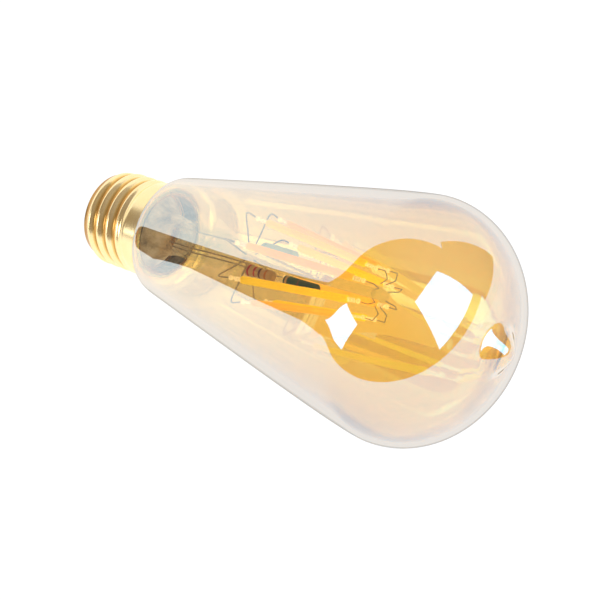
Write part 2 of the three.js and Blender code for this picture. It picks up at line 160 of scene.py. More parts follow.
# A closed tube of round section along a path.
def sweptParts(path, radius, sides=10):
    points = []
    tangent = (path[1] - path[0]).normalized()
    across = tangent.orthogonal().normalized()
    for k, point in enumerate(path):
        ahead = (path[min(k + 1, len(path) - 1)] - path[max(k - 1, 0)]).normalized()
        across.rotate(tangent.rotation_difference(ahead))
        tangent = ahead
        up = tangent.cross(across).normalized()
        for i in range(sides):
            angle = fullTurn * i / sides
            points.append(point + across * radius * cos(angle) + up * radius * sin(angle))
    return points, closedFaces(len(path), sides)


def wireParts(points, radius, steps=8):
    return sweptParts(smoothPath(points, steps), radius)


# A box with rounded edges, built as a stack of rounded rectangles.
def roundedBoxParts(width, depth, height, edge, middle=(0, 0, 0), cornerSteps=3):
    levels = []
    for i in range(cornerSteps + 1):
        angle = pi / 2 * i / cornerSteps
        levels.append((-height / 2 + edge * (1 - cos(angle)), edge * (1 - sin(angle))))
    levels += [(-z, inset) for z, inset in reversed(levels)]
    points = []
    for z, inset in levels:
        for corner, (sx, sy) in enumerate(((1, 1), (-1, 1), (-1, -1), (1, -1))):
            for i in range(cornerSteps + 1):
                angle = pi / 2 * (corner + i / cornerSteps)
                x = sx * (width / 2 - edge) + (edge - inset) * cos(angle)
                y = sy * (depth / 2 - edge) + (edge - inset) * sin(angle)
                points.append(Vector((x, y, z)) + Vector(middle))
    return points, closedFaces(len(levels), 4 * (cornerSteps + 1))


# A slightly uneven blob of molten metal.
def beadParts(centre, radius, seed, rings=8, sides=12):
    outline = [(0, -radius)]
    for k in range(1, rings):
        angle = pi * k / rings
        outline.append((radius * sin(angle), -radius * cos(angle)))
    outline.append((0, radius))
    points, faces = turnedParts(outline, sides)
    shaped = []
    for p in points:
        lump = 1 + 0.09 * noise.noise(p / radius * 1.3 + Vector((seed * 3.1, 0, 0)))
        shaped.append(centre + p * lump)
    return shaped, faces


# A point on a round ring that is pressed squarish.
def squarish(angle, squareness):
    c, s = cos(angle), sin(angle)
    return copysign(abs(c) ** squareness, c), copysign(abs(s) ** squareness, s)


def mirrored(outline, length):
    return outline + [(r, length - z) for r, z in reversed(outline)]


# The outline of a rod with soft domed ends.
def domedOutline(radius, length, steps=8):
    outline = [(0, 0)]
    for i in range(1, steps + 1):
        angle = pi / 2 * i / steps
        outline.append((radius * sin(angle), radius * 0.6 * (1 - cos(angle))))
    return mirrored(outline, length)


# Puts a piece in the scene, on the body, in place of a CAD node. Each shape in the list takes the material
# at the same place in the list of materials.
def addPiece(name, shapes, materials, node, place=None, sharpAngle=40):
    points, faces = joinParts(*shapes)
    mesh = bpy.data.meshes.new(name)
    mesh.from_pydata([p * mm for p in points], [], faces)
    mesh.validate()
    shell = bmesh.new()
    shell.from_mesh(mesh)
    bmesh.ops.recalc_face_normals(shell, faces=shell.faces)
    shell.to_mesh(mesh)
    shell.free()
    mesh.shade_smooth()
    mesh.set_sharp_from_angle(angle=radians(sharpAngle))
    for material in materials:
        mesh.materials.append(material)
    paint = [number for number, shape in enumerate(shapes) for _ in shape[1]]
    for polygon, number in zip(mesh.polygons, paint):
        polygon.material_index = number
    piece = bpy.data.objects.new(name, mesh)
    scene.collection.objects.link(piece)
    if place is None:
        mesh.transform(bulbFrame)
    else:
        piece.matrix_world = place
    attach(piece, "root")
    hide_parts(node)
    return mesh


# Adds a node. Each input is a number, a colour or another node's output.
def addNode(tree, kind, inputs=(), **settings):
    node = tree.nodes.new("ShaderNode" + kind)
    for name, value in settings.items():
        setattr(node, name, value)
    for socket, value in dict(inputs).items():
        if isinstance(value, bpy.types.NodeSocket):
            tree.links.new(value, node.inputs[socket])
        else:
            node.inputs[socket].default_value = value
    return node


def startMaterial(name):
    material = bpy.data.materials.new(name)
    material.use_nodes = True
    material.node_tree.nodes.clear()
    return material, material.node_tree


def endMaterial(material, surface):
    addNode(material.node_tree, "OutputMaterial", {"Surface": surface})
    return material


def mathNode(tree, operation, first, second):
    return addNode(tree, "Math", {0: first, 1: second}, operation=operation).outputs[0]


def placeCoordinates(tree):
    place = addNode(tree, "TexCoord").outputs["Object"]
    return addNode(tree, "Mapping", {"Vector": place}).outputs[0]


# The same, measured in the bulb's own upright frame, for patterns that follow its length.
def uprightCoordinates(tree, stretch=(1, 1, 1)):
    back = bulbFrame.inverted()
    place = addNode(tree, "TexCoord").outputs["Object"]
    upright = addNode(tree, "Mapping", {"Vector": place, "Location": back.to_translation(),
                                        "Rotation": back.to_euler()}).outputs[0]
    return addNode(tree, "Mapping", {"Vector": upright, "Scale": stretch}).outputs[0]


def noiseNode(tree, vector, scale, detail=4, roughness=0.5):
    return addNode(tree, "TexNoise", {"Vector": vector, "Scale": scale, "Detail": detail,
                                      "Roughness": roughness}).outputs["Fac"]


# A ramp through (position, colour) stops.
def rampNode(tree, share, stops, interpolation="LINEAR"):
    node = addNode(tree, "ValToRGB", {"Fac": share})
    node.color_ramp.interpolation = interpolation
    elements = node.color_ramp.elements
    while len(elements) > 1:
        elements.remove(elements[-1])
    elements[0].position = stops[0][0]
    elements[0].color = (*stops[0][1], 1)
    for position, colour in stops[1:]:
        elements.new(position).color = (*colour, 1)
    return node.outputs["Color"]


def rangeNode(tree, value, fromLow, fromHigh, toLow, toHigh, smooth=False):
    return addNode(tree, "MapRange", {"Value": value, "From Min": fromLow, "From Max": fromHigh,
                                      "To Min": toLow, "To Max": toHigh},
                   interpolation_type="SMOOTHSTEP" if smooth else "LINEAR").outputs["Result"]


# Spreads a noise over a range of values.
def spreadNode(tree, grain, low, high):
    return rangeNode(tree, grain, *noiseSpan, low, high)


def bumpNode(tree, height, depth, strength=1.0):
    return addNode(tree, "Bump", {"Height": height, "Distance": depth * mm,
                                  "Strength": strength}).outputs["Normal"]


def mixShaders(tree, share, first, second):
    return addNode(tree, "MixShader", {"Fac": share, 1: first, 2: second}).outputs[0]


def addShaders(tree, first, second):
    return addNode(tree, "AddShader", {0: first, 1: second}).outputs[0]


# An opaque finish: a colour ramp over mottling, a roughness range over finer noise, and a bump. An optional
# glow paints light onto a piece that is no lamp.
def mottledMaterial(name, dark, light, metallic=0.0, roughness=(0.3, 0.45), scale=300, fineScale=1500,
                    bump=0.02, coat=0.0, glow=((1, 1, 1), 0)):
    material, tree = startMaterial(name)
    vector = placeCoordinates(tree)
    mottle = noiseNode(tree, vector, scale)
    fine = noiseNode(tree, vector, fineScale, 6, 0.6)
    shader = addNode(tree, "BsdfPrincipled", {
        "Base Color": rampNode(tree, mottle, [(0.3, dark), (0.7, light)]),
        "Roughness": spreadNode(tree, fine, *roughness), "Normal": bumpNode(tree, fine, bump),
        "Metallic": metallic, "Coat Weight": coat,
        "Emission Color": (*glow[0], 1), "Emission Strength": glow[1]})
    return endMaterial(material, shader.outputs[0])


cameraView = {"azimuth": 40.44, "elevation": 39.69, "distance": 558.9, "aimHeight": 72,
              "lens": 130.5, "shiftRight": 0.0063, "shiftUp": -0.0343, "nearest": 10}
studio = {
    "white": 1.0,                        # what shows behind and through the glass
    "fill": 0.72,                        # the same walls as soft light on the opaque pieces
    "darkRoom": (0.07, 0.23),            # the open side of the studio, seen only in reflections
    "litCorner": (0.40, 0.60, 0.60),     # where that side is brightest
    "litReach": 0.95,
    "sweepNormal": (-0.507, 0.862, -0.397),      # the edge of the curved backdrop
    "horizonNormal": (0.046, -0.224, 0.62),      # where the backdrop meets the table
    "leftEdgeNormal": (0.066, -0.215, -0.075),   # the backdrop's slanting left edge, and how high it goes
    "leftEdgeTop": 0.30,
    "tableCorner": 40,                   # the compass angle of the table's left corner
    "bayEdge": 162,                      # the dark doorway beside the backdrop, as a compass angle
    "bayTop": 0.79,
    "bayBottom": 0.10,
}
tableTop = {
    "front": -146, "frontSlope": 0.206,  # y of the front edge at the middle, and its slope
    "leftEnd": -197,                     # where the front edge ends
    "left": ((-164, -130), (-153, -95), (-120, -71), (-92, -50), (-2500, -50)),
    "reach": 2500, "glow": 0.975, "shade": 0.10,
}
softBoxes = {
    "soft_box_right": {"centre": (1070, 150, 780), "down": (0.1, 0.23, -0.97),
                       "across": (-0.02, -0.92, -0.39), "size": (1090, 950), "strength": 4.2},
    "soft_box_left": {"centre": (-570, -1215, 390), "down": (0.85, -0.52, -0.12),
                      "across": (-0.24, 0.39, -0.89), "size": (750, 860), "strength": 4.2},
}
softCloth = {"reach": 0.6, "hem": 0.55}  # how far the light falls off, as a share of the size, and to what


def makeCamera():
    azimuth = radians(cameraView["azimuth"])
    elevation = radians(cameraView["elevation"])
    level = cos(elevation)
    back = Vector((sin(azimuth) * level, -cos(azimuth) * level, sin(elevation)))
    aim = contactPoint + bulbAxis * cameraView["aimHeight"] * mm
    data = bpy.data.cameras.new("camera")
    data.lens = cameraView["lens"]
    data.shift_x = cameraView["shiftRight"]
    data.shift_y = cameraView["shiftUp"]
    data.clip_start = cameraView["nearest"] * mm
    camera = bpy.data.objects.new("camera", data)
    scene.collection.objects.link(camera)
    camera.location = aim + back * cameraView["distance"] * mm
    camera.rotation_euler = (-back).to_track_quat("-Z", "Y").to_euler()
    scene.camera = camera


# A flat sheet that belongs to the studio.
def addSheet(name, corners, material):
    mesh = bpy.data.meshes.new(name)
    mesh.from_pydata([Vector(c) * mm for c in corners], [], [tuple(range(len(corners)))])
    mesh.materials.append(material)
    sheet = bpy.data.objects.new(name, mesh)
    scene.collection.objects.link(sheet)
    return sheet


# White paper that gives off its own light, so that only a faint shadow shows on it.
def makeTable():
    reach, leftEnd = tableTop["reach"], tableTop["leftEnd"]
    corners = [(x, tableTop["front"] + tableTop["frontSlope"] * x, 0) for x in (leftEnd, reach)]
    corners += [(reach, reach, 0), (-reach, reach, 0)]
    corners += [(x, y, 0) for x, y in reversed(tableTop["left"])]
    material, tree = startMaterial("tablePaper")
    glow = addNode(tree, "Emission", {"Strength": tableTop["glow"]}).outputs[0]
    paper = addNode(tree, "BsdfDiffuse", {"Color": (*[tableTop["shade"]] * 3, 1)}).outputs[0]
    addSheet("table", corners, endMaterial(material, addShaders(tree, glow, paper)))


# Lit cloth, brightest in the middle and falling off to the hem.
def clothMaterial(name, box):
    material, tree = startMaterial(name)
    place = addNode(tree, "TexCoord").outputs["Object"]
    apart = addNode(tree, "VectorMath", {0: place, 1: Vector(box["centre"]) * mm}, operation="DISTANCE")
    reach = max(box["size"]) * softCloth["reach"] * mm
    strength = box["strength"]
    level = rangeNode(tree, apart.outputs["Value"], 0, reach, strength, strength * softCloth["hem"], True)
    return endMaterial(material, addNode(tree, "Emission", {"Strength": level}).outputs[0])


def makeSoftBoxes():
    for name, box in softBoxes.items():
        middle = Vector(box["centre"])
        down = Vector(box["down"]).normalized() * box["size"][0] / 2
        across = Vector(box["across"]).normalized() * box["size"][1] / 2
        corners = [middle + down * a + across * b for a, b in ((-1, -1), (-1, 1), (1, 1), (1, -1))]
        panel = addSheet(name, corners, clothMaterial(name + "_cloth", box))
        panel.visible_camera = False
        panel.visible_shadow = False


# White walls all round, with the open, dark side of the room where only a reflection can show it.
def makeWorld():
    world = bpy.data.worlds.new("studioWalls")
    scene.world = world
    world.use_nodes = True
    tree = world.node_tree
    tree.nodes.clear()
    direction = addNode(tree, "TexCoord").outputs["Generated"]
    path = addNode(tree, "LightPath").outputs

    def along(normal):
        return addNode(tree, "VectorMath", {0: direction, 1: Vector(normal).normalized()},
                       operation="DOT_PRODUCT").outputs["Value"]

    def above(value, limit=0.0):
        return mathNode(tree, "GREATER_THAN", value, limit)

    def below(value, limit=0.0):
        return mathNode(tree, "LESS_THAN", value, limit)

    def both(first, second):
        return mathNode(tree, "MULTIPLY", first, second)

    def either(first, second):
        return mathNode(tree, "MAXIMUM", first, second)

    def without(value):
        return mathNode(tree, "SUBTRACT", 1.0, value)

    height = along((0, 0, 1))
    bay = radians(studio["bayEdge"])
    corner = radians(studio["tableCorner"])
    pastEdge = both(above(along(studio["leftEdgeNormal"])), below(height, studio["leftEdgeTop"]))
    beforeSweep = either(below(along(studio["sweepNormal"])), pastEdge)
    inBay = both(below(along((cos(bay), sin(bay), 0))), below(height, studio["bayTop"]))
    inBay = both(inBay, above(height, studio["bayBottom"]))
    pastCorner = below(along((sin(corner), -cos(corner), 0)))
    aboveTable = either(above(along(studio["horizonNormal"])), pastCorner)
    dark = both(either(beforeSweep, inBay), aboveTable)
    reflected = above(path["Glossy Depth"], 0.5)
    spread = above(path["Diffuse Depth"], 0.5)
    dark = both(both(dark, reflected), without(spread))
    level = rangeNode(tree, spread, 0, 1, studio["white"], studio["fill"])
    dim = rangeNode(tree, along(studio["litCorner"]), 0, studio["litReach"], *studio["darkRoom"])
    lit = mathNode(tree, "ADD", both(level, without(dark)), both(dark, dim))
    walls = addNode(tree, "Background", {"Color": (1, 1, 1, 1), "Strength": lit}).outputs[0]
    addNode(tree, "OutputWorld", {"Surface": walls})


scene.view_settings.view_transform = "Standard"
scene.view_settings.look = "None"
scene.cycles.max_bounces = 28            # light crosses many layers of glass before it gets out
scene.cycles.transmission_bounces = 24
scene.cycles.glossy_bounces = 12
scene.cycles.diffuse_bounces = 4
scene.cycles.transparent_max_bounces = 16
makeCamera()
makeTable()
makeSoftBoxes()
makeWorld()
print("studio ready")


glass = {
    "diameter": 64, "length": 140.6, "widestHeight": 110.5,
    "shoulderDiameter": 33.2, "shoulderHeight": 29.6, "wall": 0.9,
    "neckDiameter": 23.4, "neckEnd": 21, "capRim": 26.3,
    "shoulderPull": 0.32,    # how soon the long cone opens out above the shoulder
    "bellyStart": 0.08,      # how far below the widest height the belly starts, as a share of the cone
    "tipReach": 7.8, "tipLength": 4, "tipOutside": 0.99, "tipInside": 0.75, "ior": 1.45,
    "sides": 160, "shoulderSteps": 16, "coneSteps": 60, "smoothing": 10,
    "trim": 0.9965,          # keeps the round glass inside the faceted one
}
coating = {
    "passNeck": (0.715, 0.525, 0.275), "passDome": (0.89, 0.592, 0.205),     # what it lets through
    "mirrorNeck": (0.31, 0.42, 0.47), "mirrorDome": (0.045, 0.25, 0.44),     # what it throws back
    "mirror": [(0.38, (0.88, 0.815, 0.74)), (0.8, (0.40, 0.35, 0.29))],      # its mirror at the edges
    "mirrorIor": 1.5, "edgeFrom": 0.045, "edgeTo": 0.21, "edgeMost": 0.84,
    "fadeFrom": 44, "fadeTo": 108, "cloud": 8,
    "foot": 0.5,             # how far it reaches under the cap's rim
}


def smoothed(outline, passes, kept):
    for _ in range(passes):
        fresh = list(outline)
        for i in range(kept, len(outline) - 1):
            before, here, after = outline[i - 1:i + 2]
            fresh[i] = tuple((before[k] + 2 * here[k] + after[k]) / 4 for k in (0, 1))
        outline = fresh
    return outline


# Neck, shoulder, long cone and dome, from the neck's end to the crown.
def bodyOutline():
    neck, shoulder = glass["neckDiameter"] / 2, glass["shoulderDiameter"] / 2
    widest, widestHeight = glass["diameter"] / 2, glass["widestHeight"]
    foot, top = glass["capRim"], glass["shoulderHeight"]
    outline = [(neck, glass["neckEnd"]), (neck, glass["neckEnd"] + 2), (neck, foot - 1.2)]
    for i in range(glass["shoulderSteps"] + 1):
        angle = pi / 2 * i / glass["shoulderSteps"]
        outline.append((neck + (shoulder - neck) * sin(angle),
                        foot + (top - foot) * (1 - cos(angle))))
    a, d = Vector((shoulder, top)), Vector((widest, widestHeight))
    c = Vector((widest, widestHeight - glass["bellyStart"] * (widestHeight - top)))
    b = a.lerp(c, glass["shoulderPull"])
    steps = glass["coneSteps"]
    for i in range(1, steps + 1):
        t = i / steps
        p = a * (1 - t) ** 3 + b * 3 * t * (1 - t) ** 2 + c * 3 * t * t * (1 - t) + d * t ** 3
        outline.append((p.x, p.y))
    crown = glass["length"] - glass["tipLength"]
    for i in range(1, steps * 2):
        angle = pi / 4 * i / steps
        outline.append((widest * cos(angle), widestHeight + (crown - widestHeight) * sin(angle)))
    return smoothed(outline, glass["smoothing"], 4)


def insetOutline(outline, wall):
    inner = []
    for i, (radius, height) in enumerate(outline):
        before, after = outline[max(i - 1, 0)], outline[min(i + 1, len(outline) - 1)]
        run = Vector((after[0] - before[0], after[1] - before[1])).normalized()
        inner.append((radius - run.y * wall, height + run.x * wall))
    return inner


# The sealed tip is a soft mound on the crown.
def raisedTip(outline, share):
    raised = []
    for radius, height in outline:
        near = max(0, 1 - (radius / glass["tipReach"]) ** 2) if height > glass["widestHeight"] else 0
        raised.append((radius, height + glass["tipLength"] * share * near * near))
    return raised


# Clear glass with a faint ripple.
def clearGlassMaterial():
    material, tree = startMaterial("innerGlass")
    ripple = noiseNode(tree, placeCoordinates(tree), 90, 2)
    shader = addNode(tree, "BsdfGlass", {"Color": (1, 1, 1, 1), "Roughness": 0.0, "IOR": glass["ior"],
                                         "Normal": bumpNode(tree, ripple, 0.05, 0.4)})
    return endMaterial(material, shader.outputs[0])


# Glass with a thin lustre on it: it lets gold through, throws blue-white back, and turns to a plain
# mirror at a glancing angle.
def lustreMaterial():
    material, tree = startMaterial("goldLustreGlass")
    vector = uprightCoordinates(tree)
    along = addNode(tree, "SeparateXYZ", {"Vector": vector}).outputs["Z"]
    cloud = coating["cloud"] * mm
    uneven = spreadNode(tree, noiseNode(tree, vector, 28, 3), -cloud, cloud)
    height = mathNode(tree, "ADD", along, uneven)
    fade = rangeNode(tree, height, coating["fadeFrom"] * mm, coating["fadeTo"] * mm, 0, 1, True)
    gold = rampNode(tree, fade, [(0, coating["passNeck"]), (1, coating["passDome"])])
    silver = rampNode(tree, fade, [(0, coating["mirrorNeck"]), (1, coating["mirrorDome"])])
    ripple = bumpNode(tree, noiseNode(tree, vector, 60, 2), 0.06, 0.25)
    through = addNode(tree, "BsdfRefraction", {"Color": gold, "Normal": ripple, "IOR": glass["ior"],
                                               "Roughness": 0.0})
    thrown = addNode(tree, "BsdfGlossy", {"Color": silver, "Normal": ripple, "Roughness": 0.0})
    both = addShaders(tree, through.outputs[0], thrown.outputs[0])
    glance = addNode(tree, "Fresnel", {"IOR": coating["mirrorIor"]}).outputs["Fac"]
    tint = rampNode(tree, glance, coating["mirror"])
    mirror = addNode(tree, "BsdfGlossy", {"Color": tint, "Roughness": 0.0})
    edge = rangeNode(tree, glance, coating["edgeFrom"], coating["edgeTo"], 0, coating["edgeMost"])
    return endMaterial(material, mixShaders(tree, edge, both, mirror.outputs[0]))


def makeGlass():
    outer = bodyOutline()
    wall = glass["wall"]
    crown = glass["length"] - glass["tipLength"]
    skin = raisedTip(outer + [(0, crown)], glass["tipOutside"])
    inside = insetOutline(outer, wall)
    inside[0] = (inside[0][0], glass["neckEnd"])
    inside = raisedTip(inside + [(0, crown - wall)], glass["tipInside"])
    outline = [(r * glass["trim"], z) for r, z in list(reversed(skin)) + inside]
    mesh = addPiece("glass_envelope_blown", [turnedParts(outline, glass["sides"])],
                    [lustreMaterial(), clearGlassMaterial()], "glass_envelope", sharpAngle=50)
    # the lustre covers the skin from the crown down to the cap's rim
    coatedRows = len([p for p in skin if p[1] > glass["capRim"] - coating["foot"]]) - 1
    for polygon in mesh.polygons:
        polygon.material_index = 0 if polygon.index < coatedRows * glass["sides"] else 1


makeGlass()
print("glass envelope blown")


cap = {
    "length": 26, "crest": 26.2, "root": 24.2, "pitch": 3.62, "turns": 3.5, "plain": 1.9,
    "edgeDiameter": 23.4, "edgeHeight": 5.2, "wall": 0.35, "sides": 144, "rowStep": 0.16,
    "trim": 0.995, "contactDiameter": 9.6, "contactThickness": 0.6, "contactBore": 1.4,
}
brass = {
    # glow is painted light, which lifts the brass's darkest reflections
    "metallic": 0.92, "glow": (0.165, 0.085, 0.022), "roughness": (0.17, 0.27),
    "paintedShadeDepth": 0.42,     # the painted shade in the grooves fades out this far above the root of the thread
    # the colours run from painted shade at the thread's root to a painted highlight on its crests
    "colours": [(0, (0.34, 0.17, 0.035)), (0.35, (0.80, 0.50, 0.15)), (0.8, (1.0, 0.78, 0.38)),
                (1, (1.0, 0.86, 0.52))],
}


def threadRadius(height, angle):
    pitch = cap["pitch"]
    start = cap["edgeHeight"] + cap["plain"]
    end = start + cap["turns"] * pitch
    rising = smoothStep(height, start - pitch / 2, start + pitch / 2)
    falling = 1 - smoothStep(height, end - pitch / 2, end + pitch / 2)
    wave = 0.5 + 0.5 * cos(fullTurn * height / pitch - angle)
    opening = smoothStep(height, cap["edgeHeight"], start)
    base = blendBetween(cap["edgeDiameter"] / 2, cap["root"] / 2, opening)
    return base + (cap["crest"] / 2 - base) * (rising * falling * wave + 1 - falling)


# Brass with painted light: the thread's crests are painted paler as a highlight, its grooves painted brown as
# shade, and the brass glows faintly though it is no lamp.
def brassMaterial():
    material, tree = startMaterial("polishedBrass")
    cloud = noiseNode(tree, placeCoordinates(tree), 180, 4)
    lines = noiseNode(tree, uprightCoordinates(tree, (1, 1, 24)), 160, 5, 0.6)
    across = addNode(tree, "VectorMath", {0: uprightCoordinates(tree, (1, 1, 0))}, operation="LENGTH")
    root = cap["root"] / 2
    # painted shade in the grooves, rising to a painted highlight on the crests, over random mottling
    depth = rangeNode(tree, across.outputs["Value"], root * mm * cap["trim"],
                      (root + brass["paintedShadeDepth"]) * mm * cap["trim"], 0, 0.86)
    grooveShadeAndMottle = mathNode(tree, "ADD", depth, spreadNode(tree, cloud, 0, 0.14))
    shader = addNode(tree, "BsdfPrincipled", {
        "Metallic": brass["metallic"], "Emission Color": (*brass["glow"], 1), "Emission Strength": 1.0,
        "Base Color": rampNode(tree, grooveShadeAndMottle, brass["colours"]),
        "Roughness": spreadNode(tree, lines, *brass["roughness"]),
        "Normal": bumpNode(tree, lines, 0.004, 0.2)})
    return endMaterial(material, shader.outputs[0])


def makeScrewCap():
    rows = round((cap["length"] - cap["edgeHeight"]) / cap["rowStep"])
    heights = [blendBetween(cap["edgeHeight"], cap["length"], i / rows) for i in range(rows + 1)]
    rings = [(height, 0) for height in heights] + [(height, cap["wall"]) for height in reversed(heights)]
    points = []
    sides = cap["sides"]
    for height, inset in rings:
        for i in range(sides):
            angle = fullTurn * i / sides
            radius = threadRadius(height, angle) * cap["trim"] - inset
            points.append(Vector((radius * cos(angle), radius * sin(angle), height)))
    rolled = (points, ringFaces(len(rings), sides, joined=True))
    addPiece("screw_cap_rolled", [rolled], [brassMaterial()], "screw_cap")


def makeCapEnd():
    radius = cap["contactDiameter"] / 2
    thick, bore, edge = cap["contactThickness"], cap["contactBore"], cap["edgeHeight"]
    rim = cap["edgeDiameter"] / 2 - cap["wall"] - 0.3
    inner = bore + 0.6
    foot = thick + 0.3
    outline = [(inner, foot), (radius + 0.6, foot), (radius + 1, foot + 0.15), (rim - 1.9, edge - 2.15),
               (rim - 0.8, edge - 1.3), (rim - 0.15, edge - 0.7), (rim, edge - 0.3), (rim, edge + 1.4),
               (inner + 3, edge + 0.8), (inner, edge)]
    dark = mottledMaterial("darkGlassInsulator", (0.03, 0.03, 0.035), (0.07, 0.07, 0.08),
                           roughness=(0.12, 0.3), scale=350, bump=0.03, coat=0.3)
    addPiece("cap_insulator_moulded", [turnedParts(outline, 96)], [dark], "cap_insulator")
    shank, hole, shankTop = bore + 0.3, bore - 0.5, edge + 0.2
    outline = [(0, 0), (radius - 0.5, 0), (radius - 0.25, 0.04), (radius - 0.06, 0.15), (radius, thick / 2),
               (radius - 0.1, thick), (shank, thick), (shank, shankTop), (hole, shankTop), (hole, thick),
               (0, thick)]
    tinned = mottledMaterial("tinnedContact", (0.55, 0.53, 0.49), (0.80, 0.78, 0.73), 1.0, (0.22, 0.42),
                             500, 1400, 0.02)
    addPiece("centre_contact_pressed", [turnedParts(outline, 72)], [tinned],
             "centre_contact")


def makeCement():
    inner = glass["neckDiameter"] / 2 + 0.3
    outer = cap["crest"] / 2 - cap["wall"] - 0.3
    low, top = glass["neckEnd"], cap["length"] - 0.3
    outline = [(inner, low), (outer, low)]
    outline += [(outer, blendBetween(low, top, i / 10)) for i in range(1, 11)]
    outline += [(blendBetween(outer, inner, 0.5), top), (inner, top - 0.2)]
    outline += [(inner, blendBetween(top - 0.2, low, i / 10)) for i in range(1, 10)]

    def crumbly(radius, angle, height):
        spot = Vector((cos(angle) * 6, sin(angle) * 6, height * 0.9))
        return radius + 0.05 * noise.noise(spot)

    chalky = mottledMaterial("basingCement", (0.26, 0.24, 0.17), (0.80, 0.78, 0.71), roughness=(0.8, 0.95),
                             scale=900, fineScale=2400, bump=0.25)
    addPiece("basing_cement_set", [turnedParts(outline, 144, crumbly)], [chalky], "basing_cement",
             sharpAngle=60)


makeScrewCap()
makeCapEnd()
makeCement()
print("cap rolled and cemented")


stem = {
    "tubeDiameter": 10.4, "wall": 0.8, "tubeHeight": 45, "flareLength": 11, "flareCurve": 2.4,
    "sealWidth": 11.2, "sealThickness": 3.8, "sealLength": 8, "exhaustDiameter": 3, "exhaustWall": 0.5,
    "rodDiameter": 3, "buttonDiameter": 5.6, "buttonLength": 4.4, "gap": 0.3, "boardTop": 20.4,
}
stemGlass = {"dark": (0.94, 0.95, 0.95), "pale": (0.9682, 0.9785, 0.9785), "shine": (0.04, 0.75)}
# glow is painted light: the clouded flare gives off light though it is no lamp
flareHaze = {
    "smoke": [(0.36, (0.20, 0.15, 0.07)), (0.48, (0.68, 0.60, 0.45)), (0.62, (0.92, 0.89, 0.84))],
    "cover": (0.45, 0.72), "glow": 0.42, "shine": 0.08,
}
cage = {
    "count": 8, "diameter": 2, "tabLength": 2.2, "tabDiameter": 1.2, "footHeight": 60.5,
    "footRadius": 11.8, "headHeight": 96, "headRadius": 7, "firstAngle": 82, "twist": -7,
    "wire": 0.42, "headWire": 0.6, "bead": 1.3, "elbowDrop": 4.6,
}
sealStart = stem["tubeHeight"] + stem["gap"]
sealEnd = sealStart + stem["sealLength"]
rodStart = sealEnd + stem["gap"]


# Thin clear glass that light goes straight through.
def thinGlassMaterial():
    material, tree = startMaterial("stemGlass")
    vector = placeCoordinates(tree)
    streaks = noiseNode(tree, vector, 240, 3)
    tint = rampNode(tree, streaks, [(0.35, stemGlass["dark"]), (0.65, stemGlass["pale"])])
    clear = addNode(tree, "BsdfTransparent", {"Color": tint})
    ripple = bumpNode(tree, noiseNode(tree, vector, 130, 2), 0.1, 0.4)
    shine = addNode(tree, "BsdfGlossy", {"Color": (1, 1, 1, 1), "Roughness": 0.03, "Normal": ripple})
    glance = addNode(tree, "LayerWeight", {"Blend": 0.5, "Normal": ripple}).outputs["Facing"]
    steep = mathNode(tree, "POWER", glance, 5.0)
    share = rangeNode(tree, steep, 0, 1, *stemGlass["shine"])
    return endMaterial(material, mixShaders(tree, share, clear.outputs[0], shine.outputs[0]))


clearStem = thinGlassMaterial()


# The flare is clouded by smoke from its own sealing, in patches, and the smoke glows in its own colour as
# painted light.
def cloudedGlassMaterial():
    material, tree = startMaterial("flareGlass")
    cloud = noiseNode(tree, placeCoordinates(tree), 170, 6, 0.65)
    smoke = rampNode(tree, cloud, flareHaze["smoke"])
    ripple = bumpNode(tree, cloud, 0.12, 0.5)
    clear = addNode(tree, "BsdfTransparent")
    haze = addNode(tree, "BsdfPrincipled", {"Base Color": smoke, "Emission Color": smoke, "Roughness": 0.6,
                                            "Emission Strength": flareHaze["glow"], "Normal": ripple})
    shine = addNode(tree, "BsdfGlossy", {"Roughness": 0.05, "Normal": ripple})
    cover = spreadNode(tree, cloud, *flareHaze["cover"])
    clouded = mixShaders(tree, cover, clear.outputs[0], haze.outputs[0])
    return endMaterial(material, mixShaders(tree, flareHaze["shine"], clouded, shine.outputs[0]))


# Everything on the glass mount leans with it.
def addMounted(name, shapes, materials, node, sharpAngle=40):
    return addPiece(name, shapes, materials, node, mountFrame, sharpAngle)


def addClear(node, manner, shape, sharpAngle=40):
    addMounted(node + "_" + manner, [shape], [clearStem], node, sharpAngle)


def makeFlare():
    tube = stem["tubeDiameter"] / 2
    rim = glass["neckDiameter"] / 2 - glass["wall"] - 0.6
    rimEnd = glass["neckEnd"] + 0.4
    outer = []
    for i in range(25):
        t = i / 24
        outer.append((tube + (rim - tube) * (1 - t) ** stem["flareCurve"], rimEnd + stem["flareLength"] * t))
    outer.append((tube, stem["tubeHeight"]))
    inner = [(r - stem["wall"], z) for r, z in reversed(outer)]
    mesh = addMounted("stem_flare_drawn", [turnedParts(outer + inner, 96)],
                      [clearStem, cloudedGlassMaterial()], "stem_flare")
    for polygon in mesh.polygons:
        polygon.material_index = 1 if polygon.center.z < (rimEnd + stem["flareLength"] - 1) * mm else 0


# The pinched seal: a round end pressed flat, with soft corners.
def makeSeal(rows=24, sides=48, squareness=0.7):
    points = []
    for k in range(rows + 1):
        share = k / rows
        closing = sin(pi * min(max(share, 0.03), 0.97)) ** 0.12
        width = stem["sealWidth"] / 2 * closing * (1 - 0.10 * share)
        thick = stem["sealThickness"] / 2 * closing * (1.0 - 0.25 * sin(pi * share))
        for i in range(sides):
            x, y = squarish(fullTurn * i / sides, squareness)
            points.append(Vector((width * x, thick * y, blendBetween(sealStart, sealEnd, share))))
    addClear("stem_seal", "pinched", (points, closedFaces(rows + 1, sides)), 55)


